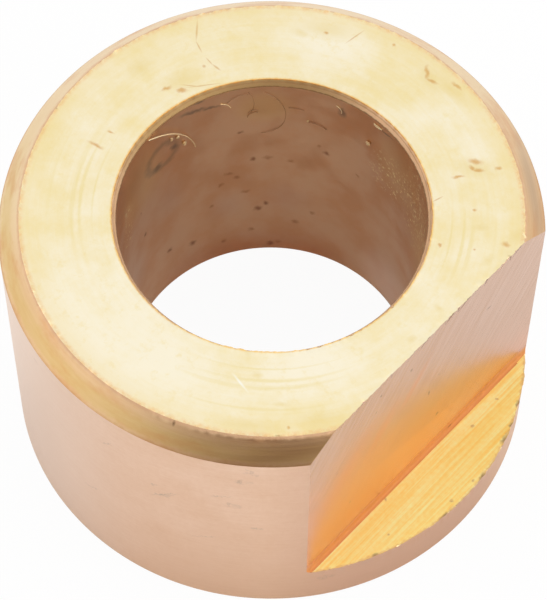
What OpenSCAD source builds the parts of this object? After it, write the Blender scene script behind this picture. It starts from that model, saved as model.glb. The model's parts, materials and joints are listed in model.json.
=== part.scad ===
// Bronze bushing: a thick turned sleeve with a lock flat milled down one side to a ledge.
// The bore runs along +Z, the flat faces +X, and the origin is the middle of the bottom face.

/* [Sleeve] */
// Diameter of the bore
bore_d = 25; // [12:0.5:40]
// Thickness of the wall between the bore and the outside
wall = 9.5; // [6:0.1:20]
// Length of the sleeve along the bore
sleeve_h = 26.5; // [15:0.5:60]

/* [Turned edges] */
// Leg of the 45 degree chamfer round the top of the outside
top_chamfer = 1.75; // [0.5:0.05:4]
// Leg of the 45 degree edge break round the bottom face, outside and in the bore
bottom_break = 0.3; // [0.1:0.05:1.5]
// Width of the lead-in at the bore's top mouth, measured across the bore
lead_in_w = 0.35; // [0.1:0.05:1.5]
// Depth of the lead-in, measured along the bore
lead_in_depth = 0.65; // [0.2:0.05:3]

/* [Lock flat] */
// Thickness of the wall left between the bore and the middle of the flat
flat_wall = 4.3; // [2:0.1:8]
// Height of the ledge above the bottom face
ledge_h = 5; // [2:0.1:12]
// Radius that the end mill leaves in the corner between flat and ledge
nose_r = 0.3; // [0.1:0.05:2]

/* [Hidden] */
$fn = 96;
bore_r = bore_d / 2;
outer_r = bore_r + wall;
flat_x = bore_r + flat_wall;
// How far the milling cut runs out past the blank
run_out = 1;

// Half section of the sleeve, as the lathe leaves it before milling
module turned_section() {
    polygon([
        [bore_r, bottom_break],
        [bore_r + bottom_break, 0],
        [outer_r - bottom_break, 0],
        [outer_r, bottom_break],
        [outer_r, sleeve_h - top_chamfer],
        [outer_r - top_chamfer, sleeve_h],
        [bore_r + lead_in_w, sleeve_h],
        [bore_r, sleeve_h - lead_in_depth],
    ]);
}

// Side view of what the end mill takes away: X across the flat, Y up the sleeve
module milled_section() {
    reach = outer_r + run_out - flat_x;
    rise = sleeve_h + run_out - ledge_h;
    translate([flat_x + nose_r, ledge_h])
        square([reach - nose_r, rise]);
    translate([flat_x, ledge_h + nose_r])
        square([reach, rise - nose_r]);
    translate([flat_x + nose_r, ledge_h + nose_r])
        circle(r = nose_r);
}

// One turned piece, with the flat and its ledge milled across the chamfered side
module bushing() {
    color("#d9b27c")
        difference() {
            rotate_extrude()
                turned_section();
            rotate([90, 0, 0])
                linear_extrude(2 * (outer_r + run_out), center = true)
                    milled_section();
        }
}

bushing();
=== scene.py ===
import json
import math

import bpy
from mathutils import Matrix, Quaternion, Vector


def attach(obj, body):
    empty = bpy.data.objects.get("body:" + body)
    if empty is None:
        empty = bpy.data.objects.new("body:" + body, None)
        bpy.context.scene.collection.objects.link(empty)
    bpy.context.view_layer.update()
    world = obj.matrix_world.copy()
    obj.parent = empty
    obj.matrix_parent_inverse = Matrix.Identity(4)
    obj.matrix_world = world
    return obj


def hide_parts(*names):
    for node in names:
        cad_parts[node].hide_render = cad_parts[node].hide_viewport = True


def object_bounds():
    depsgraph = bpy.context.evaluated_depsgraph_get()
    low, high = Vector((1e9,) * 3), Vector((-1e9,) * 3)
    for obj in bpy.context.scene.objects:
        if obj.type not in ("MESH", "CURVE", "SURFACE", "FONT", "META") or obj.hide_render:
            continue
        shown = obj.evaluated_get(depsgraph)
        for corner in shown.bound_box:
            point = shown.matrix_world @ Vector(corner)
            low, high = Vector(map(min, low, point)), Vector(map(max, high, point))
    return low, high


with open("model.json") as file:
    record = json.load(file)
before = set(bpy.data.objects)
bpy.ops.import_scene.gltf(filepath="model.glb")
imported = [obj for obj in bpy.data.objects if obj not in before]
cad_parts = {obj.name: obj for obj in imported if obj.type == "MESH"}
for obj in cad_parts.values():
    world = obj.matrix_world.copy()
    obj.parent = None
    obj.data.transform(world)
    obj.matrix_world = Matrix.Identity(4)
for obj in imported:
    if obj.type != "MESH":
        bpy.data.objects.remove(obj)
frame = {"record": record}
cad_low, cad_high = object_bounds()

# The bushing is one thick sleeve of bearing bronze, faced, turned and bored on a lathe from bar.
# An end mill then cut the lock flat down one side to a ledge. Nobody deburred it, so its edges
# are still a little ragged.
MM = 0.001
mounts = {mount["name"]: mount for mount in frame["record"]["mounts"]}
bore_r = mounts["bore"]["dims"]["r_mm"] * MM
outer_r = mounts["outside"]["dims"]["r_mm"] * MM
flat_x = mounts["lock_flat"]["pos_m"][0]
ledge_h = mounts["lock_ledge"]["pos_m"][2]
sleeve_h = cad_high.z
top_chamfer = 1.75 * MM
bottom_break = 0.3 * MM
lead_in_w = 0.35 * MM
lead_in_depth = 0.65 * MM
burr_w = 0.13 * MM
mouth_r = bore_r + lead_in_w
rim_r = outer_r - top_chamfer
spokes = 720

# The lathe's section: radius and height of each corner of the wall, and how many rings lead up to it.
section = [
    (bore_r, sleeve_h - lead_in_depth, 14),
    (mouth_r, sleeve_h, 3),
    (mouth_r + burr_w, sleeve_h, 1),
    (rim_r - burr_w, sleeve_h, 14),
    (rim_r, sleeve_h, 1),
    (rim_r + burr_w, sleeve_h - burr_w, 1),
    (outer_r, sleeve_h - top_chamfer, 6),
    (outer_r, bottom_break, 16),
    (outer_r - bottom_break, 0.0, 1),
    (bore_r + bottom_break, 0.0, 5),
]
bpy.ops.object.select_all(action="DESELECT")
bpy.ops.mesh.primitive_circle_add(vertices=spokes, radius=bore_r)
bushing = bpy.context.object
bushing.name = "bushing_turned"
bpy.ops.object.mode_set(mode="EDIT")
bpy.ops.mesh.select_mode(type="EDGE")
bpy.ops.mesh.select_all(action="SELECT")
bpy.ops.transform.translate(value=(0, 0, bottom_break))
ring_r, ring_z = bore_r, bottom_break
for corner_r, corner_z, rings in section:
    step_r = (corner_r - ring_r) / rings
    step_z = (corner_z - ring_z) / rings
    for ring in range(rings):
        bpy.ops.mesh.extrude_edges_move(TRANSFORM_OT_translate={"value": (0, 0, step_z)})
        grow = (ring_r + step_r) / ring_r
        bpy.ops.transform.resize(value=(grow, grow, 1), center_override=(0, 0, 0))
        ring_r += step_r
        ring_z += step_z
bpy.ops.mesh.select_all(action="DESELECT")
bpy.ops.mesh.select_non_manifold()
bpy.ops.mesh.bridge_edge_loops()
bpy.ops.mesh.select_all(action="SELECT")
bpy.ops.mesh.normals_make_consistent(inside=False)
bpy.ops.object.mode_set(mode="OBJECT")

# What the end mill takes away: a block with the mill's corner radius on its inner lower edge,
# cut into small fields, so that the flat and the ledge have points to be worn at.
nose_r = 0.3 * MM
nose_facets = 6
run_out = 1.0 * MM
flat_field_mm = 1.6
ledge_field_mm = 1.3
weld = 0.004 * MM
near = 0.02 * MM
cut_low = Vector((flat_x, -outer_r - run_out, ledge_h))
cut_high = Vector((outer_r + run_out, outer_r + run_out, sleeve_h + run_out))


def close(length, wanted):
    """Whether a length is the wanted one, to the fineness of the mesh."""
    return abs(length - wanted) < near


def in_corner(point):
    """Whether a point of the block lies on the edge that the mill's corner rounds."""
    return close(point.x, flat_x) and close(point.z, ledge_h)


bpy.ops.object.select_all(action="DESELECT")
bpy.ops.mesh.primitive_cube_add(size=1)
mill_cut = bpy.context.object
bpy.ops.object.mode_set(mode="EDIT")
bpy.ops.transform.resize(value=tuple(cut_high - cut_low), center_override=(0, 0, 0))
bpy.ops.transform.translate(value=tuple((cut_high + cut_low) / 2))
bpy.ops.object.mode_set(mode="OBJECT")
for edge in mill_cut.data.edges:
    edge.select = all(in_corner(mill_cut.data.vertices[i].co) for i in edge.vertices)
for face in mill_cut.data.polygons:
    face.select = False
for point in mill_cut.data.vertices:
    point.select = in_corner(point.co)
bpy.ops.object.mode_set(mode="EDIT")
bpy.ops.mesh.select_mode(type="EDGE")
bpy.ops.mesh.bevel(offset=nose_r, offset_type="OFFSET", segments=nose_facets, profile=0.5, affect="EDGES")
fields = [((0, 0, ledge_h + k * flat_field_mm * MM), (0, 0, 1)) for k in range(1, 14)]
fields += [((0, k * flat_field_mm * MM, 0), (0, 1, 0)) for k in range(-9, 10)]
fields += [((flat_x + k * ledge_field_mm * MM, 0, 0), (1, 0, 0)) for k in range(1, 4)]
for field_place, field_way in fields:
    bpy.ops.mesh.select_all(action="SELECT")
    bpy.ops.mesh.bisect(plane_co=field_place, plane_no=field_way)
bpy.ops.object.mode_set(mode="OBJECT")

bpy.ops.object.select_all(action="DESELECT")
bushing.select_set(True)
bpy.context.view_layer.objects.active = bushing
milling = bushing.modifiers.new("milling", "BOOLEAN")
milling.operation = "DIFFERENCE"
milling.solver = "EXACT"
milling.object = mill_cut
bpy.ops.object.modifier_apply(modifier="milling")
bpy.data.objects.remove(mill_cut)
bpy.ops.object.mode_set(mode="EDIT")
bpy.ops.mesh.select_all(action="SELECT")
bpy.ops.mesh.remove_doubles(threshold=weld)
bpy.ops.object.mode_set(mode="OBJECT")

# Burrs: each edge wanders by a few hundredths of a millimetre, the torn outer edge of the ledge most.
# For each edge: how far it wanders and how long its teeth are, in millimetres.
crease = math.radians(24)
edges = {
    "rim": (0.3, 0.45, lambda p, r: close(r, rim_r) and close(p.z, sleeve_h)),
    "mouth": (0.26, 0.4, lambda p, r: close(r, mouth_r) and close(p.z, sleeve_h)),
    "flat_top": (0.4, 0.4, lambda p, r: close(p.x, flat_x) and close(p.z, sleeve_h) and r < rim_r),
    "flat_sides": (0.04, 0.45,
                   lambda p, r: close(p.x, flat_x) and r > rim_r + near and p.z > ledge_h + nose_r),
    "ledge_edge": (0.5, 0.4, lambda p, r: close(p.z, ledge_h) and close(r, outer_r)),
}
for edge_name, (wander_mm, tooth_mm, test) in edges.items():
    group = bushing.vertex_groups.new(name=edge_name)
    worn = [point.index for point in bushing.data.vertices if test(point.co, point.co.xy.length)]
    group.add(worn, 1.0, "REPLACE")
    teeth = bpy.data.textures.new(edge_name + "_teeth", "CLOUDS")
    teeth.noise_scale = tooth_mm * MM
    teeth.noise_depth = 2
    tearing = bushing.modifiers.new(edge_name, "DISPLACE")
    tearing.texture = teeth
    tearing.texture_coords = "LOCAL"
    tearing.vertex_group = edge_name
    tearing.mid_level = 0.5
    tearing.strength = wander_mm * MM
    bpy.ops.object.modifier_apply(modifier=edge_name)
bpy.ops.object.shade_smooth_by_angle(angle=crease)
for edge in bushing.data.edges:
    ends = [bushing.data.vertices[i].co for i in edge.vertices]
    nose_top = all(close(p.x, flat_x) and close(p.z, ledge_h + nose_r) for p in ends)
    nose_foot = all(close(p.z, ledge_h) and close(p.x, flat_x + nose_r) for p in ends)
    if nose_top or nose_foot:
        edge.use_edge_sharp = True

# Faced end: the facing tool's fine rings, the palest skin of the part, with broad pale patches, the largest
# of them, at the front, a painted highlight.
# Dried coolant has left tan stains on it, and its edges are torn to a yellow line, which at the mouth is
# brightened as a painted highlight.
soft_edge = {"interpolation_type": "SMOOTHSTEP"}
in_colour = {"data_type": "RGBA"}


def linear(code):
    """The linear colour of an sRGB hex code."""
    parts = [int(code[k:k + 2], 16) / 255 for k in (1, 3, 5)]
    return tuple(c / 12.92 if c <= 0.04045 else ((c + 0.055) / 1.055) ** 2.4 for c in parts) + (1.0,)


def add(tree, kind, settings=None, values=None, links=None, out=0):
    """Adds one node with its settings, its own values and what feeds it, and gives back one output."""
    made = tree.nodes.new("ShaderNode" + kind)
    for name, value in (settings or {}).items():
        setattr(made, name, value)
    for name, value in (values or {}).items():
        made.inputs[name].default_value = value
    for name, source in (links or {}).items():
        tree.links.new(source, made.inputs[name])
    return made.outputs[out] if len(made.outputs) else None


def start_finish(name):
    """A new material on the bushing, with the place on the part in millimetres as its base, so that
    a noise with a Scale of 1 / 4.5 has patches of about 4.5 mm."""
    made = bpy.data.materials.new(name)
    made.use_nodes = True
    made.node_tree.nodes.clear()
    here = add(made.node_tree, "TexCoord", out="Object")
    place = add(made.node_tree, "VectorMath", {"operation": "SCALE"}, {"Scale": 1 / MM}, {0: here})
    bushing.data.materials.append(made)
    return made.node_tree, place


def end_finish(tree, colour, rough, height, depth_mm):
    """Closes a bronze finish: its colour, its roughness and a relief of that many millimetres."""
    relief = add(tree, "Bump", {}, {"Strength": 1.0, "Distance": depth_mm * MM}, {"Height": height})
    metal = add(tree, "BsdfPrincipled", {}, {"Metallic": 1.0},
                {"Base Color": colour, "Roughness": rough, "Normal": relief})
    add(tree, "OutputMaterial", {}, {}, {"Surface": metal})


def lathe_marks(tree, place, along, across, mode):
    """Noise drawn out round the axis, as a lathe tool leaves it: along is in patches to a radian,
    across in lines to a millimetre, counted outwards on a face and upwards on a wall."""
    flat_place = add(tree, "VectorMath", {"operation": "MULTIPLY"}, {1: (1, 1, 0)}, {0: place})
    heading = add(tree, "VectorMath", {"operation": "NORMALIZE"}, {}, {0: flat_place})
    if mode == "face":
        level = add(tree, "VectorMath", {"operation": "LENGTH"}, {}, {0: flat_place}, out="Value")
    else:
        level = add(tree, "SeparateXYZ", {}, {}, {0: place}, out="Z")
    lines = add(tree, "Math", {"operation": "MULTIPLY"}, {1: across}, {0: level})
    lift = add(tree, "CombineXYZ", {}, {}, {"Z": lines})
    turned = add(tree, "VectorMath", {"operation": "MULTIPLY_ADD"}, {1: (along, along, 0)},
                 {0: heading, 2: lift})
    return add(tree, "TexNoise", {}, {"Scale": 1.0, "Detail": 4.0, "Roughness": 0.6}, {"Vector": turned})


def marks(tree, place, spots):
    """A mask of small stains or scratches. Each spot is its middle, its turn about X and Z in degrees
    and its three half sizes, in millimetres."""
    mask = None
    for middle, tilt, turn, half in spots:
        local = add(tree, "Mapping", {"vector_type": "TEXTURE"},
                    {"Location": middle, "Scale": half,
                     "Rotation": (math.radians(tilt), 0, math.radians(turn))}, {"Vector": place})
        spot = add(tree, "TexGradient", {"gradient_type": "SPHERICAL"}, {}, {"Vector": local}, out=1)
        mask = spot if mask is None else add(tree, "Math", {"operation": "MAXIMUM"}, {}, {0: mask, 1: spot})
    return mask


def ragged(tree, place, size_mm, reach_mm):
    """The place, shifted in patches of that size by about that reach, so that what is drawn on it
    has a ragged outline. The noise keeps to the middle third of its range, so it is stretched."""
    stretch = 3 * reach_mm
    stir = add(tree, "TexNoise", {}, {"Scale": 1 / size_mm, "Detail": 3.0}, {"Vector": place}, out="Color")
    stir = add(tree, "VectorMath", {"operation": "SUBTRACT"}, {1: (0.5, 0.5, 0.5)}, {0: stir})
    return add(tree, "VectorMath", {"operation": "MULTIPLY_ADD"}, {1: (stretch,) * 3}, {0: stir, 2: place})


def on_face(spots):
    """Marks on the faced end: where across it, half length, half width, and turn in degrees."""
    return [((x, y, sleeve_h / MM), 0, turn, (long, wide, 1.0)) for x, y, long, wide, turn in spots]


faced, place = start_finish("bearing_bronze_faced")
loose = ragged(faced, place, 0.6, 0.16)
frayed = ragged(faced, place, 0.25, 0.05)
reach = add(faced, "VectorMath", {"operation": "MULTIPLY"}, {1: (1, 1, 0)}, {0: frayed})
reach = add(faced, "VectorMath", {"operation": "LENGTH"}, {}, {0: reach}, out="Value")
rings = lathe_marks(faced, place, 2.2, 2.5, "face")
fine_rings = lathe_marks(faced, place, 3.0, 6.0, "face")
cloud = add(faced, "TexNoise", {}, {"Scale": 1 / 4.5, "Detail": 8.0, "Roughness": 0.7}, {"Vector": place})
# Pale patches; the largest, at the front, is a painted highlight.
pale_patches = marks(faced, place, on_face([
    (-0.5, -17.0, 14.0, 9.0, 5), (12.0, -8.5, 6.0, 3.5, 55), (-7.5, 15.0, 5.0, 3.5, 30),
]))
tone = add(faced, "Math", {"operation": "MULTIPLY_ADD"}, {1: 0.3}, {0: rings, 2: cloud})
tone = add(faced, "Math", {"operation": "MULTIPLY_ADD"}, {1: -0.32}, {0: pale_patches, 2: tone})
tone = add(faced, "MapRange", soft_edge, {"From Min": 0.3, "From Max": 1.0}, {"Value": tone})
colour = add(faced, "Mix", in_colour, {6: linear("#fcf3da"), 7: linear("#f4e1a4")}, {0: tone}, out=2)
mottle = add(faced, "TexNoise", {}, {"Scale": 1 / 0.9, "Detail": 5.0, "Roughness": 0.7}, {"Vector": place})
mottle = add(faced, "MapRange", soft_edge,
             {"From Min": 0.52, "From Max": 0.75, "To Max": 0.45}, {"Value": mottle})
colour = add(faced, "Mix", in_colour, {7: linear("#f3df9e")}, {0: mottle, 6: colour}, out=2)
arcs = None
for radius, wide in [(14.4, 0.16), (15.42, 0.28), (16.05, 0.36), (17.95, 0.24)]:
    line = add(faced, "Math", {"operation": "SUBTRACT"}, {1: radius}, {0: reach})
    line = add(faced, "Math", {"operation": "ABSOLUTE"}, {}, {0: line})
    line = add(faced, "MapRange", soft_edge, {"From Min": wide, "From Max": 0.0}, {"Value": line})
    arcs = line if arcs is None else add(faced, "Math", {"operation": "MAXIMUM"}, {}, {0: arcs, 1: line})
broken = marks(faced, place, on_face([
    (10.0, -12.0, 9.0, 6.0, 50), (13.0, 7.5, 5.0, 4.5, 60), (-13.0, -8.5, 8.0, 5.0, -60),
]))
arcs = add(faced, "Math", {"operation": "MULTIPLY"}, {}, {0: arcs, 1: broken})
arcs = add(faced, "Math", {"operation": "MULTIPLY"}, {}, {0: arcs, 1: rings})
arcs = add(faced, "MapRange", {}, {"From Min": 0.08, "From Max": 0.45, "To Max": 0.5}, {"Value": arcs})
colour = add(faced, "Mix", in_colour, {7: linear("#efdc98")}, {0: arcs, 6: colour}, out=2)
scuffs = marks(faced, loose, on_face([
    (15.3, -11.5, 2.2, 0.9, 50), (11.5, -15.6, 3.2, 0.8, 36), (15.6, 2.1, 0.6, 0.4, 0),
    (15.9, -1.4, 0.6, 0.4, 80), (16.0, 11.4, 1.1, 0.8, 80), (15.7, 8.1, 0.9, 0.5, 80),
    (13.4, 10.1, 0.9, 0.4, 40), (9.1, -11.8, 0.6, 0.4, 30), (12.2, -12.5, 0.9, 0.25, 42),
    (-8.6, 16.2, 3.2, 1.2, 30), (-14.0, 4.4, 2.2, 1.3, 60), (-17.5, 3.0, 1.6, 1.0, 80),
    (-10.0, 14.6, 1.2, 0.7, 20), (3.0, 18.6, 2.2, 0.8, -8), (18.0, 7.0, 1.4, 0.6, 70),
    (9.4, 14.1, 2.2, 1.2, 30), (1.0, 18.3, 2.0, 1.0, -20),
]))
scuffs = add(faced, "MapRange", {}, {"From Max": 0.9, "To Max": 0.5}, {"Value": scuffs})
colour = add(faced, "Mix", in_colour, {7: linear("#edd793")}, {0: scuffs, 6: colour}, out=2)
stains = marks(faced, loose, on_face([
    (0.4, 18.6, 1.1, 0.32, -51), (1.3, 18.2, 0.85, 0.28, 12), (3.1, 19.2, 0.8, 0.28, -5),
    (9.0, 14.6, 0.9, 0.36, 30), (9.7, 14.1, 0.7, 0.3, 30), (10.8, 15.3, 0.45, 0.28, 45),
    (9.2, 13.9, 0.4, 0.26, 0), (8.9, 12.5, 0.8, 0.22, 53), (-8.4, 16.0, 0.36, 0.3, 0),
    (-3.4, 18.9, 0.26, 0.24, 0), (12.0, 6.55, 0.24, 0.24, 0), (15.84, 10.2, 0.5, 0.32, 30),
    (-14.8, -4.9, 1.0, 0.3, 15), (-14.8, -3.2, 0.5, 0.18, 20), (11.9, 11.0, 0.3, 0.2, 30),
    (-14.4, 3.0, 0.7, 0.26, 75), (-13.3, 3.7, 0.7, 0.3, 40), (14.0, -13.7, 0.26, 0.26, 0),
    (14.3, 8.2, 0.18, 0.16, 0),
]))
stains = add(faced, "MapRange", soft_edge,
             {"From Min": 0.05, "From Max": 0.9, "To Max": 0.7}, {"Value": stains})
colour = add(faced, "Mix", in_colour, {7: linear("#d89f54")}, {0: stains, 6: colour}, out=2)
scratches = marks(faced, place, on_face([
    (-6.35, 17.3, 1.3, 0.09, 82), (-16.5, 8.95, 1.3, 0.12, -50), (-15.25, 7.85, 0.8, 0.09, -24),
    (-13.6, 7.35, 0.6, 0.08, -10), (-12.75, 7.3, 0.6, 0.12, 0), (-13.6, 6.7, 0.22, 0.2, 0),
    (9.05, 9.8, 0.65, 0.09, 73), (-12.3, 5.3, 1.9, 0.07, 51), (-13.0, 4.6, 1.2, 0.07, 35),
]))
scratches = add(faced, "MapRange", {}, {"From Min": 0.05, "From Max": 0.7, "To Max": 0.5},
                {"Value": scratches})
colour = add(faced, "Mix", in_colour, {7: linear("#d29c56")}, {0: scratches, 6: colour}, out=2)
ding = marks(faced, place, on_face([(8.6, -13.2, 1.2, 0.14, -12)]))
colour = add(faced, "Mix", in_colour, {7: linear("#fffdf2")}, {0: ding, 6: colour}, out=2)
rim_line = add(faced, "MapRange", soft_edge,
               {"From Min": rim_r / MM - 2.6, "From Max": rim_r / MM + 0.2, "To Max": 0.32},
               {"Value": reach})
colour = add(faced, "Mix", in_colour, {7: linear("#f2d88c")}, {0: rim_line, 6: colour}, out=2)
fringe = add(faced, "TexNoise", {}, {"Scale": 1 / 0.5, "Detail": 4.0, "Roughness": 0.7}, {"Vector": place})
fringe = add(faced, "MapRange", {}, {"From Min": 0.35, "From Max": 0.62, "To Max": 0.8}, {"Value": fringe})
rim_edge = add(faced, "MapRange", soft_edge,
               {"From Min": rim_r / MM - 0.5, "From Max": rim_r / MM - 0.05}, {"Value": reach})
fringe = add(faced, "Math", {"operation": "MULTIPLY"}, {}, {0: fringe, 1: rim_edge})
colour = add(faced, "Mix", in_colour, {7: linear("#f3c68c")}, {0: fringe, 6: colour}, out=2)
# The torn yellow line at the mouth, brightened as a painted highlight.
mouth_line = add(faced, "MapRange", soft_edge,
                 {"From Min": mouth_r / MM + 0.2, "From Max": mouth_r / MM - 0.02, "To Max": 0.85},
                 {"Value": reach})
colour = add(faced, "Mix", in_colour, {7: linear("#f5c468")}, {0: mouth_line, 6: colour}, out=2)
rough = add(faced, "MapRange", {}, {"To Min": 0.32, "To Max": 0.45}, {"Value": rings})
relief = add(faced, "Math", {"operation": "MULTIPLY_ADD"}, {1: -1.5}, {0: scratches, 2: fine_rings})
end_finish(faced, colour, rough, relief, 0.006)

# Chamfer: a short cone cut with the tool's flank, duller than the face. A greener band of old
# coolant lies along its front, and the torn rim above it is a thin matt line, pink against the brown.


def on_wall(radius, spots):
    """Marks on a round wall: angle round the axis, height, half length round it, half height, and tilt."""
    placed = []
    for angle, height, along, tall, tilt in spots:
        way = math.radians(angle)
        middle = (radius * math.cos(way), radius * math.sin(way), height)
        placed.append((middle, tilt, angle, (1.0, along, tall)))
    return placed


chamfer, place = start_finish("bearing_bronze_chamfered")
loose = ragged(chamfer, place, 0.5, 0.14)
frayed = ragged(chamfer, place, 0.4, 0.07)
lines = lathe_marks(chamfer, place, 3.0, 6.0, "wall")
patchy = lathe_marks(chamfer, place, 5.0, 1.0, "wall")
colour = add(chamfer, "Mix", in_colour, {6: linear("#ecc99e"), 7: linear("#dcb282")}, {0: lines}, out=2)
bleached = add(chamfer, "VectorMath", {"operation": "DOT_PRODUCT"}, {1: (-0.835, 0.55, 0)},
               {0: place}, out="Value")
bleached = add(chamfer, "MapRange", soft_edge,
               {"From Min": -4.0, "From Max": 8.0, "To Max": 0.9}, {"Value": bleached})
colour = add(chamfer, "Mix", in_colour, {7: linear("#f0d7ae")}, {0: bleached, 6: colour}, out=2)
level = add(chamfer, "SeparateXYZ", {}, {}, {0: loose}, out="Z")
low_z = (sleeve_h - top_chamfer) / MM
band_up = add(chamfer, "MapRange", soft_edge,
              {"From Min": low_z + 0.05, "From Max": low_z + 0.4}, {"Value": level})
band_down = add(chamfer, "MapRange", soft_edge,
                {"From Min": low_z + 1.45, "From Max": low_z + 0.8}, {"Value": level})
forward = add(chamfer, "VectorMath", {"operation": "DOT_PRODUCT"}, {1: (0.2, -0.98, 0)},
              {0: place}, out="Value")
forward = add(chamfer, "MapRange", soft_edge, {"From Min": -2.0, "From Max": 12.0}, {"Value": forward})
band = add(chamfer, "Math", {"operation": "MULTIPLY"}, {}, {0: band_up, 1: band_down})
band = add(chamfer, "Math", {"operation": "MULTIPLY"}, {}, {0: band, 1: forward})
band = add(chamfer, "Math", {"operation": "MULTIPLY"}, {}, {0: band, 1: patchy})
colour = add(chamfer, "Mix", in_colour, {7: linear("#d8b86e")}, {0: band, 6: colour}, out=2)
ruddy = add(chamfer, "MapRange", soft_edge,
            {"From Min": 0.45, "From Max": 0.7, "To Max": 0.5}, {"Value": patchy})
colour = add(chamfer, "Mix", in_colour, {7: linear("#da9f6c")}, {0: ruddy, 6: colour}, out=2)
# Painted shade: a darker brown patch on the front right of the chamfer.
front_right_shade = marks(chamfer, place, on_wall(rim_r / MM + 0.9, [(-40.0, 25.6, 9.0, 3.0, 0)]))
front_right_shade = add(chamfer, "MapRange", soft_edge, {"To Max": 0.54}, {"Value": front_right_shade})
colour = add(chamfer, "Mix", in_colour, {7: linear("#b18358")}, {0: front_right_shade, 6: colour}, out=2)
greyer = marks(chamfer, place, on_wall(rim_r / MM + 0.9, [(50.0, 25.3, 10.0, 2.8, 0)]))
greyer = add(chamfer, "MapRange", soft_edge, {"To Max": 0.55}, {"Value": greyer})
colour = add(chamfer, "Mix", in_colour, {7: linear("#bba28a")}, {0: greyer, 6: colour}, out=2)
level = add(chamfer, "SeparateXYZ", {}, {}, {0: frayed}, out="Z")
foot = add(chamfer, "MapRange", soft_edge,
           {"From Min": low_z + 0.18, "From Max": low_z, "To Max": 0.45}, {"Value": level})
colour = add(chamfer, "Mix", in_colour, {7: linear("#c08a54")}, {0: foot, 6: colour}, out=2)
torn = add(chamfer, "MapRange", soft_edge,
           {"From Min": sleeve_h / MM - 0.26, "From Max": sleeve_h / MM - 0.04, "To Max": 0.8},
           {"Value": level})
colour = add(chamfer, "Mix", in_colour, {7: linear("#e3bf9c")}, {0: torn, 6: colour}, out=2)
pits = marks(chamfer, place, on_wall(rim_r / MM + 0.2, [
    (-69.5, 26.3, 0.16, 0.22, 0), (-76.0, 25.4, 0.12, 0.12, 0),
]))
colour = add(chamfer, "Mix", in_colour, {7: linear("#8a6a4c")}, {0: pits, 6: colour}, out=2)
rough = add(chamfer, "MapRange", {}, {"To Min": 0.28, "To Max": 0.42}, {"Value": lines})
rough = add(chamfer, "Mix", {"data_type": "FLOAT"}, {3: 0.75}, {0: torn, 2: rough})
end_finish(chamfer, colour, rough, lines, 0.01)

# Outside: turned and left to dull to a pink beige, paler on the camera's left as painted light, with
# painted shade towards its foot and at its front beside the flat. The tool's lines run round it, drawn
# coarser than the real feed so that they show, and it carries small grey scuffs.
outside, place = start_finish("bearing_bronze_turned")
lines = lathe_marks(outside, place, 4.0, 5.0, "wall")
cloud = add(outside, "TexNoise", {}, {"Scale": 1 / 4.5, "Detail": 6.0, "Roughness": 0.65},
            {"Vector": place})
mottle = add(outside, "TexNoise", {}, {"Scale": 1 / 0.45, "Detail": 4.0, "Roughness": 0.7},
             {"Vector": place})
tone = add(outside, "Math", {"operation": "MULTIPLY_ADD"}, {1: 0.35}, {0: lines, 2: cloud})
tone = add(outside, "Math", {"operation": "MULTIPLY_ADD"}, {1: 0.7}, {0: mottle, 2: tone})
tone = add(outside, "MapRange", {}, {"From Min": 0.5, "From Max": 1.55}, {"Value": tone})
colour = add(outside, "Mix", in_colour, {6: linear("#f5d6be"), 7: linear("#e5bd9c")}, {0: tone}, out=2)
level = add(outside, "SeparateXYZ", {}, {}, {0: place}, out="Z")
# Painted shade: the wall darkens towards its foot, less on the camera's left side.
foot_shade = add(outside, "MapRange", soft_edge, {"From Min": 20.0, "From Max": -3.0, "To Max": 0.75},
            {"Value": level})
# Painted light: the wall is paler towards the camera's left, where more light falls.
left_light = add(outside, "VectorMath", {"operation": "DOT_PRODUCT"}, {1: (-0.748, -0.664, 0)},
              {0: place}, out="Value")
foot_shade_fade = add(outside, "MapRange", soft_edge,
             {"From Min": 3.0, "From Max": 20.0, "To Min": 1.0, "To Max": 0.25}, {"Value": left_light})
foot_shade = add(outside, "Math", {"operation": "MULTIPLY"}, {}, {0: foot_shade, 1: foot_shade_fade})
colour = add(outside, "Mix", in_colour, {7: linear("#ddb797")}, {0: foot_shade, 6: colour}, out=2)
# Painted light: paler on the camera's left side.
left_light = add(outside, "MapRange", soft_edge,
              {"From Min": 9.0, "From Max": 22.0, "To Max": 0.85}, {"Value": left_light})
colour = add(outside, "Mix", in_colour, {7: linear("#f2dccb")}, {0: left_light, 6: colour}, out=2)
# Painted shade: the wall is darker at its front end, beside the flat.
front_end_shade = add(outside, "VectorMath", {"operation": "DOT_PRODUCT"}, {1: (0.97, -0.243, 0)},
             {0: place}, out="Value")
front_end_shade = add(outside, "MapRange", soft_edge,
             {"From Min": 17.5, "From Max": 22.0, "To Max": 0.65}, {"Value": front_end_shade})
colour = add(outside, "Mix", in_colour, {7: linear("#cfa58a")}, {0: front_end_shade, 6: colour}, out=2)
loose = ragged(outside, place, 0.35, 0.3)
scuffs = marks(outside, loose, on_wall(outer_r / MM, [
    (-52.5, 23.6, 0.5, 0.3, 0), (-51.0, 23.3, 0.5, 0.3, 0), (-54.0, 22.0, 0.9, 0.5, 0),
    (-71.0, 16.3, 0.8, 0.35, 25), (-73.0, 17.6, 0.4, 0.3, 25), (-51.0, 13.8, 0.6, 0.3, 0),
    (-36.0, 3.6, 1.2, 0.4, 0), (-56.0, 17.7, 1.0, 0.5, 0), (-106.0, 22.8, 0.6, 0.3, 0),
    (140.0, 14.0, 0.9, 0.4, 10), (95.0, 19.0, 0.7, 0.3, -15), (-150.0, 9.0, 0.8, 0.3, 20),
]))
flecks = add(outside, "TexNoise", {}, {"Scale": 1 / 0.5, "Detail": 4.0, "Roughness": 0.7},
             {"Vector": loose})
flecks = add(outside, "MapRange", {}, {"From Min": 0.42, "From Max": 0.66}, {"Value": flecks})
scuffs = add(outside, "Math", {"operation": "MULTIPLY"}, {}, {0: scuffs, 1: flecks})
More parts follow.
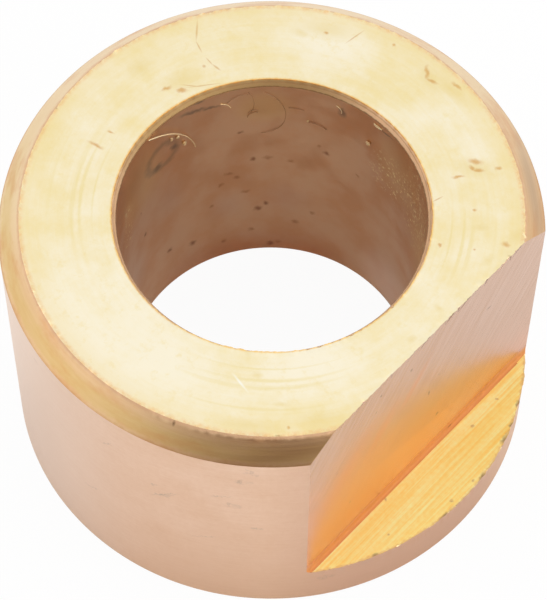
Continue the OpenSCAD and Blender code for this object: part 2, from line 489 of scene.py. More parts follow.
scuffs = add(outside, "MapRange", {}, {"From Max": 0.7, "To Max": 0.45}, {"Value": scuffs})
colour = add(outside, "Mix", in_colour, {7: linear("#a08878")}, {0: scuffs, 6: colour}, out=2)
rubs = marks(outside, loose, on_wall(outer_r / MM, [
    (-71.0, 16.4, 1.6, 0.1, 35), (-69.0, 17.2, 1.1, 0.08, 30), (-84.0, 20.5, 1.0, 0.09, 40),
    (-58.0, 19.0, 1.2, 0.08, 15), (-62.0, 11.0, 1.4, 0.08, 20), (-90.0, 10.0, 1.2, 0.09, 30),
    (-52.5, 24.0, 0.6, 0.1, -40), (160.0, 17.0, 1.6, 0.1, 25),
]))
rubs = add(outside, "MapRange", {}, {"From Max": 0.6, "To Max": 0.3}, {"Value": rubs})
colour = add(outside, "Mix", in_colour, {7: linear("#a88f7e")}, {0: rubs, 6: colour}, out=2)
rough = add(outside, "MapRange", {}, {"To Min": 0.34, "To Max": 0.5}, {"Value": lines})
end_finish(outside, colour, rough, lines, 0.006)

# Bore: bored smooth, then browned by coolant and dust that dried in it: greyer where it was wiped,
# redder towards the foot, olive with bright grains high on the right, with rust specks here and there.
bored, place = start_finish("bearing_bronze_bored")
loose = ragged(bored, place, 0.5, 0.2)
blotch = add(bored, "TexNoise", {}, {"Scale": 1 / 4.0, "Detail": 3.0, "Roughness": 0.5}, {"Vector": place})
blotch = add(bored, "MapRange", soft_edge, {"From Min": 0.35, "From Max": 0.68}, {"Value": blotch})
colour = add(bored, "Mix", in_colour, {6: linear("#e2bd99"), 7: linear("#dfb38b")}, {0: blotch}, out=2)
haze = add(bored, "TexNoise", {}, {"Scale": 1 / 1.3, "Detail": 5.0, "Roughness": 0.65}, {"Vector": loose})
haze = add(bored, "MapRange", {}, {"From Min": 0.5, "From Max": 0.8, "To Max": 0.3}, {"Value": haze})
colour = add(bored, "Mix", in_colour, {7: linear("#dfa374")}, {0: haze, 6: colour}, out=2)
pale_patches = marks(bored, place, on_wall(bore_r / MM, [
    (176.0, 14.0, 2.5, 3.5, 0), (126.0, 9.0, 3.0, 3.5, 0), (150.0, 8.5, 2.5, 3.0, 0),
    (76.0, 4.5, 5.0, 6.0, 0), (200.0, 8.0, 3.0, 5.0, 0),
]))
pale_patches = add(bored, "MapRange", soft_edge, {"To Max": 0.38}, {"Value": pale_patches})
colour = add(bored, "Mix", in_colour, {7: linear("#dcc0ab")}, {0: pale_patches, 6: colour}, out=2)
paler = marks(bored, place, on_wall(bore_r / MM, [(76.0, 2.5, 8.0, 6.0, 0)]))
paler = add(bored, "MapRange", soft_edge, {"To Max": 0.75}, {"Value": paler})
colour = add(bored, "Mix", in_colour, {7: linear("#f3d8c4")}, {0: paler, 6: colour}, out=2)
level = add(bored, "SeparateXYZ", {}, {}, {0: loose}, out="Z")
ruddy = add(bored, "MapRange", soft_edge, {"From Min": 4.5, "From Max": 0.5, "To Max": 0.55},
            {"Value": level})
backward = add(bored, "VectorMath", {"operation": "DOT_PRODUCT"}, {1: (-0.766, 0.643, 0)},
               {0: place}, out="Value")
backward = add(bored, "MapRange", soft_edge, {"From Min": 7.5, "From Max": 12.0}, {"Value": backward})
ruddy = add(bored, "Math", {"operation": "MULTIPLY"}, {}, {0: ruddy, 1: backward})
colour = add(bored, "Mix", in_colour, {7: linear("#cf8a62")}, {0: ruddy, 6: colour}, out=2)
olive = marks(bored, place, on_wall(bore_r / MM, [
    (135.0, 23.0, 3.6, 3.0, 0), (70.0, 22.0, 8.0, 6.0, 0), (195.0, 21.0, 6.0, 6.0, 0),
    (50.0, 19.0, 6.0, 9.0, 0),
]))
olive = add(bored, "MapRange", soft_edge, {"From Max": 0.8, "To Max": 0.7}, {"Value": olive})
colour = add(bored, "Mix", in_colour, {7: linear("#eccd98")}, {0: olive, 6: colour}, out=2)
soot = marks(bored, loose, on_wall(bore_r / MM, [
    (181.5, 20.4, 0.8, 0.6, 0), (172.8, 21.4, 0.6, 0.5, 30), (163.0, 24.8, 2.0, 0.4, 15),
    (156.0, 24.3, 1.2, 0.3, 12), (161.0, 25.8, 0.8, 0.25, 0), (104.2, 24.2, 0.6, 0.8, 0),
    (84.0, 25.2, 1.4, 0.2, -5),
]))
soot = add(bored, "MapRange", soft_edge, {"From Max": 0.9, "To Max": 0.65}, {"Value": soot})
colour = add(bored, "Mix", in_colour, {7: linear("#77716a")}, {0: soot, 6: colour}, out=2)
[(ring_middle, _, ring_turn, ring_half)] = on_wall(bore_r / MM, [(179.2, 21.4, 1.7, 1.5, 0)])
ring = add(bored, "Mapping", {"vector_type": "TEXTURE"},
           {"Location": ring_middle, "Rotation": (0, 0, math.radians(ring_turn)), "Scale": ring_half},
           {"Vector": loose})
ring = add(bored, "VectorMath", {"operation": "LENGTH"}, {}, {0: ring}, out="Value")
ring = add(bored, "Math", {"operation": "SUBTRACT"}, {1: 1.0}, {0: ring})
ring = add(bored, "Math", {"operation": "ABSOLUTE"}, {}, {0: ring})
ring = add(bored, "MapRange", soft_edge, {"From Min": 0.45, "From Max": 0.0, "To Max": 0.38},
           {"Value": ring})
colour = add(bored, "Mix", in_colour, {7: linear("#85796b")}, {0: ring, 6: colour}, out=2)
rust = marks(bored, loose, on_wall(bore_r / MM, [
    (110.2, 17.2, 0.5, 0.45, 0), (137.4, 7.1, 0.5, 0.6, 30), (134.4, 7.9, 0.36, 0.45, 0),
    (144.3, 19.5, 0.46, 0.36, 0), (139.3, 15.1, 0.4, 0.45, 0), (165.8, 4.5, 0.55, 0.55, 0),
    (177.4, 5.9, 0.45, 0.55, 0), (191.3, 12.5, 0.3, 0.5, 0), (132.2, 1.1, 0.5, 0.6, 0),
]))
rust = add(bored, "MapRange", soft_edge, {"To Max": 0.75}, {"Value": rust})
colour = add(bored, "Mix", in_colour, {7: linear("#8a4a2e")}, {0: rust, 6: colour}, out=2)
faint_rust = marks(bored, loose, on_wall(bore_r / MM, [
    (149.2, 13.4, 0.7, 0.4, 20), (152.5, 12.0, 0.4, 0.4, 0), (142.6, 10.1, 0.6, 0.4, 0),
    (151.9, 2.6, 0.4, 0.45, 0), (140.2, 3.7, 0.4, 0.5, 0), (122.0, 5.1, 0.5, 0.45, 0),
    (124.4, 14.8, 0.4, 0.35, 0), (113.2, 18.0, 0.3, 0.3, 0), (156.6, 9.0, 0.35, 0.35, 0),
    (115.5, 7.1, 0.35, 0.4, 0), (193.3, 16.4, 0.2, 0.36, 0), (96.0, 16.0, 0.3, 0.3, 0),
    (146.0, 12.6, 0.4, 0.4, 0), (133.5, 15.2, 0.7, 0.4, 0), (129.0, 1.4, 0.5, 0.5, 0),
]))
faint_rust = add(bored, "MapRange", soft_edge, {"To Max": 0.5}, {"Value": faint_rust})
colour = add(bored, "Mix", in_colour, {7: linear("#a5633c")}, {0: faint_rust, 6: colour}, out=2)
dusty = marks(bored, place, on_wall(bore_r / MM, [
    (72.0, 20.5, 6.0, 3.2, 0), (55.0, 20.5, 7.0, 7.0, 0), (80.0, 18.5, 3.0, 2.0, 10),
    (205.0, 18.0, 1.5, 4.0, 0),
]))
grains = add(bored, "TexNoise", {}, {"Scale": 1 / 0.3, "Detail": 3.0, "Roughness": 0.7}, {"Vector": place})
grains = add(bored, "MapRange", {}, {"From Min": 0.565, "From Max": 0.68}, {"Value": grains})
grains = add(bored, "Math", {"operation": "MULTIPLY"}, {}, {0: grains, 1: dusty})
grains = add(bored, "MapRange", {}, {"From Max": 0.35}, {"Value": grains})
colour = add(bored, "Mix", in_colour, {7: linear("#fff6d0")}, {0: grains, 6: colour}, out=2)
rough = add(bored, "MapRange", {}, {"To Min": 0.3, "To Max": 0.46}, {"Value": blotch})
rough = add(bored, "Mix", {"data_type": "FLOAT"}, {3: 0.8}, {0: grains, 2: rough})
end_finish(bored, colour, rough, blotch, 0.01)

# Lead-in: a narrow cone at the mouth of the bore, left as the boring tool cut it, in two or three
# matt rings, with a brown line where it meets the bore and a torn yellow one where it meets the face,
# brightened as a painted highlight.
lead_in, place = start_finish("bearing_bronze_lead_in")
frayed = ragged(lead_in, place, 0.3, 0.05)
lines = lathe_marks(lead_in, place, 8.0, 6.0, "wall")
colour = add(lead_in, "Mix", in_colour, {6: linear("#ffe4c4"), 7: linear("#f6d2a4")}, {0: lines}, out=2)
backward = add(lead_in, "VectorMath", {"operation": "DOT_PRODUCT"}, {1: (-0.88, 0.475, 0)},
               {0: place}, out="Value")
backward = add(lead_in, "MapRange", soft_edge, {"From Min": 5.0, "From Max": 11.5}, {"Value": backward})
colour = add(lead_in, "Mix", in_colour, {7: linear("#ccae7c")}, {0: backward, 6: colour}, out=2)
level = add(lead_in, "SeparateXYZ", {}, {}, {0: frayed}, out="Z")
level = add(lead_in, "Math", {"operation": "SUBTRACT"}, {1: (sleeve_h - lead_in_depth) / MM}, {0: level})
foot = add(lead_in, "MapRange", soft_edge, {"From Min": 0.12, "From Max": 0.03, "To Max": 0.7},
           {"Value": level})
colour = add(lead_in, "Mix", in_colour, {7: linear("#8f6840")}, {0: foot, 6: colour}, out=2)
groove = add(lead_in, "Math", {"operation": "SUBTRACT"}, {1: 0.4}, {0: level})
groove = add(lead_in, "Math", {"operation": "ABSOLUTE"}, {}, {0: groove})
groove = add(lead_in, "MapRange", soft_edge, {"From Min": 0.08, "From Max": 0.0, "To Max": 0.4},
             {"Value": groove})
colour = add(lead_in, "Mix", in_colour, {7: linear("#b98a60")}, {0: groove, 6: colour}, out=2)
# The torn yellow line at the top, brightened as a painted highlight of the mouth's edge.
torn = add(lead_in, "MapRange", soft_edge,
           {"From Min": lead_in_depth / MM - 0.1, "From Max": lead_in_depth / MM}, {"Value": level})
colour = add(lead_in, "Mix", in_colour, {7: linear("#f5b865")}, {0: torn, 6: colour}, out=2)
rough = add(lead_in, "MapRange", {}, {"To Min": 0.6, "To Max": 0.72}, {"Value": lines})
end_finish(lead_in, colour, rough, lines, 0.01)

# Flat: milled with the side of the end mill. Its flutes left a fine slanting hatch, and the last pass
# left a smoother band along the foot. The golden ledge mirrors in it, and its orange is also painted on as
# a painted reflection; the colour darkens towards the corner.
milled_flat, place = start_finish("bearing_bronze_side_milled")
hatch_tilt = 54
hatch_mm = (1.0, 6.0, 0.32)  # streaks 6 mm long and 0.32 mm wide, coarser than the real hatch
slanted = add(milled_flat, "Mapping", {"vector_type": "TEXTURE"},
              {"Rotation": (math.radians(hatch_tilt), 0, 0), "Scale": hatch_mm}, {"Vector": place})
lines = add(milled_flat, "TexNoise", {}, {"Scale": 1.0, "Detail": 5.0, "Roughness": 0.6},
            {"Vector": slanted})
loose = ragged(milled_flat, place, 0.3, 0.12)
drawn_to_mm = (1.0, 0.12, 0.5)  # patches about 8 mm long and 2 mm high
drawn = add(milled_flat, "Mapping", {}, {"Scale": drawn_to_mm}, {"Vector": place})
broad = add(milled_flat, "TexNoise", {}, {"Scale": 1.0, "Detail": 4.0, "Roughness": 0.55},
            {"Vector": drawn})
tone = add(milled_flat, "MapRange", {}, {"From Min": 0.3, "From Max": 0.7}, {"Value": lines})
colour = add(milled_flat, "Mix", in_colour, {6: linear("#e0c0ac"), 7: linear("#d6ae90")}, {0: tone}, out=2)
level = add(milled_flat, "SeparateXYZ", {}, {}, {0: place}, out="Z")
along = add(milled_flat, "SeparateXYZ", {}, {}, {0: place}, out="Y")
# Painted reflection: the golden ledge's orange, painted into the lower left of the flat on top of what the
# flat mirrors.
lean = add(milled_flat, "MapRange", {},
           {"From Min": -7.0, "From Max": 12.0, "To Min": -4.6, "To Max": 7.2}, {"Value": along})
climb = add(milled_flat, "Math", {"operation": "ADD"}, {}, {0: level, 1: lean})
flame = add(milled_flat, "Math", {"operation": "MULTIPLY_ADD"}, {1: 7.0}, {0: broad, 2: climb})
ledge_reflection = add(milled_flat, "MapRange", soft_edge, {"From Min": 25.5, "From Max": 9.5, "To Max": 0.8},
           {"Value": flame})
colour = add(milled_flat, "Mix", in_colour, {7: linear("#f2b492")}, {0: ledge_reflection, 6: colour}, out=2)
# Painted reflection: orange streaks of the mirrored ledge along the hatch, high on the left.
reflected_streaks = marks(milled_flat, loose, [
    ((flat_x / MM, y, z), hatch_tilt, 0, (1.0, long, wide)) for y, z, long, wide in [
        (-9.5, 17.0, 6.0, 2.2), (-5.5, 18.0, 4.5, 1.3), (-1.5, 20.5, 4.0, 0.8)]])
reflected_streaks = add(milled_flat, "MapRange", soft_edge, {"To Max": 0.4}, {"Value": reflected_streaks})
colour = add(milled_flat, "Mix", in_colour, {7: linear("#f0a67e")}, {0: reflected_streaks, 6: colour}, out=2)
smear = marks(milled_flat, place, [((flat_x / MM, 2.5, 15.0), -16, 0, (1.0, 9.0, 6.0))])
smear = add(milled_flat, "MapRange", soft_edge, {"To Max": 0.4}, {"Value": smear})
colour = add(milled_flat, "Mix", in_colour, {7: linear("#dabba6")}, {0: smear, 6: colour}, out=2)
# Painted reflection: the band along the foot, left smoother by the last pass, is painted a brighter orange
# where it mirrors the ledge.
reflected_band = add(milled_flat, "Math", {"operation": "MULTIPLY_ADD"}, {1: 0.28}, {0: along, 2: level})
reflected_band = add(milled_flat, "Math", {"operation": "MULTIPLY_ADD"}, {1: 1.6}, {0: broad, 2: reflected_band})
reflected_band = add(milled_flat, "MapRange", soft_edge,
                {"From Min": 11.9, "From Max": 11.0, "To Max": 0.35}, {"Value": reflected_band})
aside = add(milled_flat, "Math", {"operation": "ABSOLUTE"}, {}, {0: along})
aside = add(milled_flat, "MapRange", soft_edge, {"From Min": 8.0, "From Max": 1.5}, {"Value": aside})
reflected_band = add(milled_flat, "Math", {"operation": "MULTIPLY"}, {}, {0: reflected_band, 1: aside})
colour = add(milled_flat, "Mix", in_colour, {7: linear("#ffc898")}, {0: reflected_band, 6: colour}, out=2)
# Darker orange towards the corner with the ledge, and the corner itself orange and rough.
corner_darkening = add(milled_flat, "MapRange", soft_edge,
           {"From Min": ledge_h / MM + 2.2, "From Max": ledge_h / MM + 0.4, "To Max": 0.22},
           {"Value": level})
colour = add(milled_flat, "Mix", in_colour, {7: linear("#bf7634")}, {0: corner_darkening, 6: colour}, out=2)
corner = add(milled_flat, "MapRange", soft_edge,
             {"From Min": ledge_h / MM + 1.3, "From Max": ledge_h / MM + 0.3, "To Max": 0.75},
             {"Value": level})
colour = add(milled_flat, "Mix", in_colour, {7: linear("#e8ac66")}, {0: corner, 6: colour}, out=2)
specks = marks(milled_flat, loose, [
    ((flat_x / MM, y, z), 0, 0, (1.0, wide, high)) for y, z, wide, high in [
        (0.47, 16.2, 0.18, 0.5), (1.96, 10.6, 0.2, 0.26), (-2.25, 23.7, 0.18, 0.26),
        (-5.9, 24.5, 0.16, 0.24), (1.6, 17.9, 0.12, 0.2), (-9.0, 10.5, 0.14, 0.2),
        (7.5, 21.0, 0.5, 0.12), (-6.4, 22.4, 0.12, 0.2), (4.1, 5.4, 0.4, 0.16)]])
specks = add(milled_flat, "MapRange", {}, {"From Min": 0.1, "From Max": 0.7, "To Max": 0.7},
             {"Value": specks})
colour = add(milled_flat, "Mix", in_colour, {7: linear("#8a6650")}, {0: specks, 6: colour}, out=2)
rough = add(milled_flat, "MapRange", {}, {"To Min": 0.2, "To Max": 0.3}, {"Value": lines})
rough = add(milled_flat, "Math", {"operation": "MULTIPLY_ADD"}, {1: 0.75}, {0: corner, 2: rough})
end_finish(milled_flat, colour, rough, lines, 0.005)

# Ledge: milled with the end of the mill, bright and golden, with the cutter's streaks along it
# and a pale torn burr at its outer edge.
milled_ledge, place = start_finish("bearing_bronze_end_milled")
streaks_to_mm = (2.8, 0.06, 1.0)  # streaks about 0.36 mm wide and 17 mm long
drawn = add(milled_ledge, "Mapping", {}, {"Scale": streaks_to_mm}, {"Vector": place})
lines = add(milled_ledge, "TexNoise", {}, {"Scale": 1.0, "Detail": 6.0, "Roughness": 0.72},
            {"Vector": drawn})
grain = add(milled_ledge, "TexNoise", {}, {"Scale": 1 / 0.35, "Detail": 2.0}, {"Vector": place})
tone = add(milled_ledge, "Math", {"operation": "MULTIPLY_ADD"}, {1: 0.22}, {0: grain, 2: lines})
tone = add(milled_ledge, "MapRange", {}, {"From Min": 0.44, "From Max": 0.8}, {"Value": tone})
colour = add(milled_ledge, "Mix", in_colour, {6: linear("#fffcd2"), 7: linear("#ffea96")}, {0: tone}, out=2)
loose = ragged(milled_ledge, place, 0.3, 0.12)
specks = marks(milled_ledge, loose, [
    ((x, y, ledge_h / MM), 0, 0, (half, half, 1.0)) for x, y, half in [
        (18.16, 5.5, 0.22), (21.4, -1.1, 0.2), (21.5, 1.6, 0.2),
        (17.2, -4.7, 0.22), (18.0, 8.9, 0.16), (19.5, -7.0, 0.16)]])
specks = add(milled_ledge, "MapRange", {}, {"From Min": 0.1, "From Max": 0.9, "To Max": 0.4},
             {"Value": specks})
colour = add(milled_ledge, "Mix", in_colour, {7: linear("#c08347")}, {0: specks, 6: colour}, out=2)
frayed = ragged(milled_ledge, place, 0.35, 0.16)
reach = add(milled_ledge, "VectorMath", {"operation": "MULTIPLY"}, {1: (1, 1, 0)}, {0: frayed})
reach = add(milled_ledge, "VectorMath", {"operation": "LENGTH"}, {}, {0: reach}, out="Value")
torn = add(milled_ledge, "MapRange", soft_edge,
           {"From Min": outer_r / MM - 0.25, "From Max": outer_r / MM, "To Max": 0.6}, {"Value": reach})
colour = add(milled_ledge, "Mix", in_colour, {7: linear("#f3dcae")}, {0: torn, 6: colour}, out=2)
bits = marks(milled_ledge, frayed, [
    ((x, y, ledge_h / MM), 0, turn, (0.3, long, 1.0)) for x, y, long, turn in [
        (20.95, 6.35, 0.7, 17), (20.6, 7.8, 0.5, 21), (21.85, 2.4, 0.6, 6),
        (21.9, -2.4, 0.7, -6), (19.6, 9.9, 0.5, 27), (20.0, -9.2, 0.4, -25)]])
bits = add(milled_ledge, "MapRange", soft_edge, {"To Max": 0.6}, {"Value": bits})
colour = add(milled_ledge, "Mix", in_colour, {7: linear("#b39c7c")}, {0: bits, 6: colour}, out=2)
rough = add(milled_ledge, "MapRange", {}, {"To Min": 0.88, "To Max": 1.0}, {"Value": lines})
end_finish(milled_ledge, colour, rough, lines, 0.012)

# Which finish lies where, told by the place and the direction of each face: a facing of 1 looks
# straight along its axis, and the torn edge of the ledge dips a little below it.
burr_drop = 0.3 * MM
slots = ["faced", "chamfer", "outside", "bore", "lead_in", "flat", "ledge"]
for face in bushing.data.polygons:
    middle, facing = face.center, face.normal
    radius = middle.xy.length
    in_notch = middle.x > flat_x - 2 * near and middle.z > ledge_h - burr_drop and abs(facing.y) < 0.3
    if in_notch and facing.x > 0.1 and middle.x < flat_x + nose_r:
        region = "flat"
    elif in_notch and facing.z > 0.7 and middle.z < ledge_h + nose_r:
        region = "ledge"
    elif radius < bore_r + 0.5 * near:
        region = "bore"
    elif radius < mouth_r and middle.z > sleeve_h - lead_in_depth and facing.z < 0.8:
        region = "lead_in"
    elif middle.z > sleeve_h - top_chamfer and radius > rim_r and facing.z > 0.1:
        region = "chamfer"
    elif abs(facing.z) > 0.5:
        region = "faced"
    else:
        region = "outside"
    face.material_index = slots.index(region)

# Swarf: a thin curl and a few crumbs of bronze from the boring tool still cling to the wall of the
# bore, with a few fibres that the coolant has browned, and one curled burr stands on the rim beside
# the flat. All of it is part of the bushing's mesh.
swarf_grains_to_mm = 6.0
fibre_grains_to_mm = 3.0
swarf, place = start_finish("bearing_bronze_swarf")
grain = add(swarf, "TexNoise", {}, {"Scale": swarf_grains_to_mm, "Detail": 2.0}, {"Vector": place})
colour = add(swarf, "Mix", in_colour, {6: linear("#fffae0"), 7: linear("#f8e2b0")}, {0: grain}, out=2)
rough = add(swarf, "MapRange", {}, {"To Min": 0.6, "To Max": 0.9}, {"Value": grain})
end_finish(swarf, colour, rough, grain, 0.01)
fibre, place = start_finish("coolant_stained_fibre")
grain = add(fibre, "TexNoise", {}, {"Scale": fibre_grains_to_mm, "Detail": 2.0}, {"Vector": place})
colour = add(fibre, "Mix", in_colour, {6: linear("#9c7354"), 7: linear("#bd926e")}, {0: grain}, out=2)
matt = add(fibre, "BsdfPrincipled", {}, {"Roughness": 0.7}, {"Base Color": colour})
add(fibre, "OutputMaterial", {}, {}, {"Surface": matt})


def at_wall(angle, height, gap_mm):
    """A point in the bore, that far off its wall."""
    way = math.radians(angle)
    off = bore_r - gap_mm * MM
    return Vector((off * math.cos(way), off * math.sin(way), height * MM))


# Each curl runs from one point of the wall to another: how far it bows upwards between them, how
# thick it is, both in millimetres, and what it is made of.
curl_sides = 6
curl_steps = 24
scraps = []
curls = [
    (at_wall(186, 25.6, 0.05), at_wall(163, 19.6, 0.05), 1.0, 0.05, "bearing_bronze_swarf"),
    (at_wall(152, 24.4, 0.03), at_wall(148, 23.5, 0.03), 0.15, 0.035, "bearing_bronze_swarf"),
    (at_wall(106.8, 24.9, 0.05), at_wall(104.6, 24.1, 0.05), 0.2, 0.035, "bearing_bronze_swarf"),
    (at_wall(141, 25.3, 0.03), at_wall(140, 22.3, 0.03), 0.35, 0.022, "coolant_stained_fibre"),
    (at_wall(141.4, 21.6, 0.03), at_wall(137.4, 22.2, 0.03), 0.3, 0.022, "coolant_stained_fibre"),
    (at_wall(141.2, 22.2, 0.03), at_wall(137.2, 22.5, 0.03), 0.25, 0.018, "coolant_stained_fibre"),
    (at_wall(135, 25.1, 0.03), at_wall(127.3, 20.8, 0.03), 0.75, 0.018, "coolant_stained_fibre"),
    (at_wall(127.3, 20.8, 0.03), at_wall(136, 19.1, 0.03), -0.4, 0.018, "coolant_stained_fibre"),
    (at_wall(118.5, 21.2, 0.03), at_wall(110.6, 20.8, 0.03), 0.25, 0.022, "coolant_stained_fibre"),
    (at_wall(149.6, 24.2, 0.03), at_wall(141.1, 25.0, 0.03), 0.3, 0.018, "coolant_stained_fibre"),
    (at_wall(125.7, 22.9, 0.03), at_wall(119.5, 22.8, 0.03), 0.12, 0.02, "coolant_stained_fibre"),
]
for start, end, bow_mm, thick, stuff in curls:
    chord = end - start
    halfway = (start + end) / 2
    rise = Vector((-halfway.x, -halfway.y, 0)).cross(chord).normalized()
    if (rise.z < 0) == (bow_mm > 0):
        rise = -rise
    bow = abs(bow_mm) * MM
    curl_r = (chord.length ** 2 / 4 + bow ** 2) / (2 * bow)
    hub = halfway + rise * (bow - curl_r)
    axis = (start - hub).cross(end - hub).normalized()
    ahead = axis.cross(start - hub)
    bpy.ops.object.select_all(action="DESELECT")
    bpy.ops.mesh.primitive_circle_add(vertices=curl_sides, radius=thick * MM, location=start,
                                      rotation=ahead.to_track_quat("Z", "Y").to_euler())
    bpy.ops.object.transform_apply(location=True, rotation=True, scale=True)
    bpy.ops.object.mode_set(mode="EDIT")
    bpy.ops.mesh.select_all(action="SELECT")
    bpy.ops.mesh.spin(steps=curl_steps, angle=-(start - hub).angle(end - hub), center=hub, axis=axis)
    bpy.ops.mesh.select_all(action="SELECT")
    bpy.ops.mesh.fill_holes(sides=curl_sides)
    bpy.ops.mesh.select_all(action="SELECT")
    bpy.ops.mesh.normals_make_consistent(inside=False)
    bpy.ops.object.mode_set(mode="OBJECT")
    bpy.context.object.data.materials.append(bpy.data.materials[stuff])
    scraps.append(bpy.context.object)

# Each crumb: where it clings, its turn in degrees and its three half sizes in millimetres.
crumb_jag = 0.05 * MM
crumbs = [
    (at_wall(92, 22.0, 0.1), 92, (0.14, 0.2, 0.26)), (at_wall(118, 21.4, 0.05), 118, (0.08, 0.1, 0.12)),
    (at_wall(174, 22.9, 0.1), 174, (0.08, 0.1, 0.26)), (at_wall(171, 22.6, 0.1), 171, (0.1, 0.16, 0.2)),
    (at_wall(168, 21.1, 0.1), 168, (0.1, 0.17, 0.24)), (at_wall(88, 25.3, 0.05), 88, (0.06, 0.5, 0.1)),
    (Vector((16.35 * MM, 11.85 * MM, sleeve_h)), 60, (0.1, 0.34, 0.12)),
]
for number, (spot, turn, half) in enumerate(crumbs):
    bpy.ops.object.select_all(action="DESELECT")
    bpy.ops.mesh.primitive_ico_sphere_add(subdivisions=2, radius=MM, location=spot,
                                          rotation=(0, 0, math.radians(turn)), scale=half)
    bpy.ops.object.transform_apply(location=True, rotation=True, scale=True)
    bpy.ops.object.mode_set(mode="EDIT")
    bpy.ops.mesh.select_all(action="SELECT")
    bpy.ops.transform.vertex_random(offset=crumb_jag, uniform=1.0, normal=0.0, seed=number)
    bpy.ops.object.mode_set(mode="OBJECT")
    bpy.context.object.data.materials.append(bpy.data.materials["bearing_bronze_swarf"])
    scraps.append(bpy.context.object)
bpy.ops.object.select_all(action="DESELECT")
for scrap in scraps:
    scrap.select_set(True)
bushing.select_set(True)
bpy.context.view_layer.objects.active = bushing
bpy.ops.object.join()

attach(bushing, "root")
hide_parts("bushing")

# Floor: a plain pale sheet. The camera sees it almost white, with a trace of the part's shadow, and
# the metal mirrors that white too, most of all on the side away from the ledge.
under = 0.02 * MM
white_from = 11 * MM
white_full = 28 * MM
bpy.ops.object.select_all(action="DESELECT")
bpy.ops.mesh.primitive_plane_add(size=4.0, location=(0, 0, -under))
floor = bpy.context.object
floor.name = "floor"
sheet = bpy.data.materials.new("white_sheet")
sheet.use_nodes = True
sheet.node_tree.nodes.clear()
paper_tree = sheet.node_tree
paper = add(paper_tree, "BsdfDiffuse", {}, {"Color": linear("#f4f4f4")})
glow = add(paper_tree, "Emission", {}, {"Color": linear("#ffffff"), "Strength": 1.0})
seen = add(paper_tree, "LightPath", out="Is Camera Ray")
mirrored = add(paper_tree, "LightPath", out="Is Glossy Ray")
spot = add(paper_tree, "TexCoord", out="Object")
lit = add(paper_tree, "VectorMath", {"operation": "DOT_PRODUCT"}, {1: (-1.0, 0.06, 0)},
          {0: spot}, out="Value")
lit = add(paper_tree, "MapRange", soft_edge,
          {"From Min": white_from, "From Max": white_full, "To Min": 0.09, "To Max": 0.85}, {"Value": lit})
mirrored = add(paper_tree, "Math", {"operation": "MULTIPLY"}, {}, {0: mirrored, 1: lit})
share = add(paper_tree, "Math", {"operation": "MULTIPLY_ADD"}, {1: 0.95}, {0: seen, 2: mirrored})
both = add(paper_tree, "MixShader", {}, {}, {0: share, 1: paper, 2: glow})
add(paper_tree, "OutputMaterial", {}, {}, {"Surface": both})
floor.data.materials.append(sheet)

# Light: a white tent all round, a little brighter on the camera's left, with the dark warm gap that
# the camera looks through, which ends above the table. Two soft lamps hang left and right, and a
# low one lights the ledge, so that the flat mirrors it.
camera_azimuth = math.radians(41.614)
gap_height = math.radians(36)
camera_way = Vector((math.sin(camera_azimuth), -math.cos(camera_azimuth), 0))
right = Vector((math.cos(camera_azimuth), math.sin(camera_azimuth), 0))
upward = Vector((0, 0, 1))
gap = camera_way * math.cos(gap_height) + upward * math.sin(gap_height)
tent = bpy.data.worlds.new("tent")
bpy.context.scene.world = tent
tent.use_nodes = True
tent.node_tree.nodes.clear()
cloth_tree = tent.node_tree
towards = add(cloth_tree, "TexCoord", out="Generated")
facing_gap = add(cloth_tree, "VectorMath", {"operation": "DOT_PRODUCT"}, {1: gap},
                 {0: towards}, out="Value")
shut = add(cloth_tree, "MapRange", soft_edge, {"From Min": 0.66, "From Max": 1.05}, {"Value": facing_gap})
height = add(cloth_tree, "SeparateXYZ", {}, {}, {0: towards}, out="Z")
height = add(cloth_tree, "MapRange", soft_edge, {"From Min": 0.1, "From Max": 0.33}, {"Value": height})
shut = add(cloth_tree, "Math", {"operation": "MULTIPLY"}, {}, {0: shut, 1: height})
cloth = add(cloth_tree, "Mix", in_colour, {6: linear("#ffffff"), 7: linear("#653f24")}, {0: shut}, out=2)
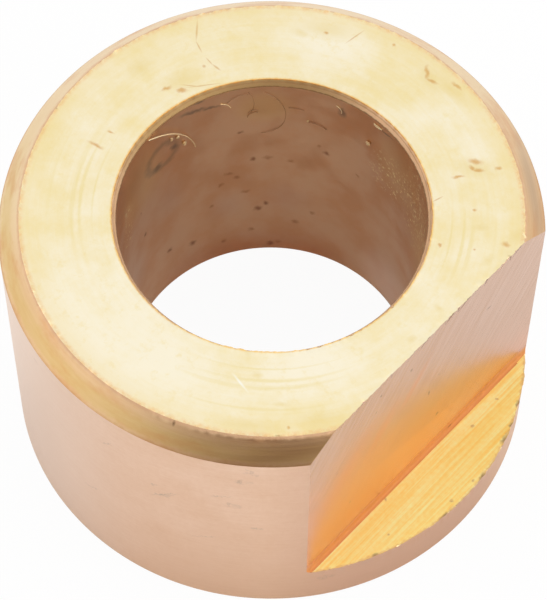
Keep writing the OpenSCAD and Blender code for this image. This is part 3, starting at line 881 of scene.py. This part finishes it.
facing_left = add(cloth_tree, "VectorMath", {"operation": "DOT_PRODUCT"}, {1: -right},
                  {0: towards}, out="Value")
strength = add(cloth_tree, "Math", {"operation": "MULTIPLY_ADD"}, {1: 0.1, 2: 0.95}, {0: facing_left})
wall = add(cloth_tree, "Background", {}, {}, {"Color": cloth, "Strength": strength})
white = add(cloth_tree, "Background", {}, {"Color": linear("#ffffff"), "Strength": 1.0})
seen = add(cloth_tree, "LightPath", out="Is Camera Ray")
both = add(cloth_tree, "MixShader", {}, {}, {0: seen, 1: wall, 2: white})
add(cloth_tree, "OutputWorld", {}, {}, {"Surface": both})
# Each lamp: its place and its width in metres, and its watts.
lamps = {
    "left_lamp": (-0.45 * right + 0.45 * upward, 0.5, 0.35),
    "right_lamp": (0.3 * right + 0.52 * upward, 0.4, 0.32),
    "low_lamp": (Vector((0.5, 0.1, 0.22)), 0.3, 0.95),
}
for lamp_name, (lamp_place, wide, watts) in lamps.items():
    bpy.ops.object.light_add(type="AREA", location=lamp_place)
    lamp = bpy.context.object
    lamp.name = lamp_name
    lamp.data.size = wide
    lamp.data.energy = watts
    lamp.rotation_mode = "QUATERNION"
    lamp.rotation_quaternion = (-lamp_place).to_track_quat("-Z", "Y")

# Camera: at the photograph's place, about a quarter of a metre away and well above the part.
camera_height = math.radians(59.748)
camera_distance = 236.47 * MM
camera_roll = math.radians(0.6254)
aim_right = 0.192 * MM
aim_down = 0.423 * MM
middle = Vector((0, 0, sleeve_h / 2))
back = camera_way * math.cos(camera_height) + upward * math.sin(camera_height)
up = back.cross(right)
eye = middle + back * camera_distance
aim = middle + right * aim_right - up * aim_down
bpy.ops.object.camera_add(location=eye)
camera = bpy.context.object
camera.rotation_mode = "QUATERNION"
camera.rotation_quaternion = (aim - eye).to_track_quat("-Z", "Y") @ Quaternion((0, 0, 1), camera_roll)
camera.data.sensor_width = 36.0
camera.data.lens = 168.9
camera.data.clip_start = 0.01
bpy.context.scene.camera = camera
bpy.context.scene.view_settings.view_transform = "Standard"
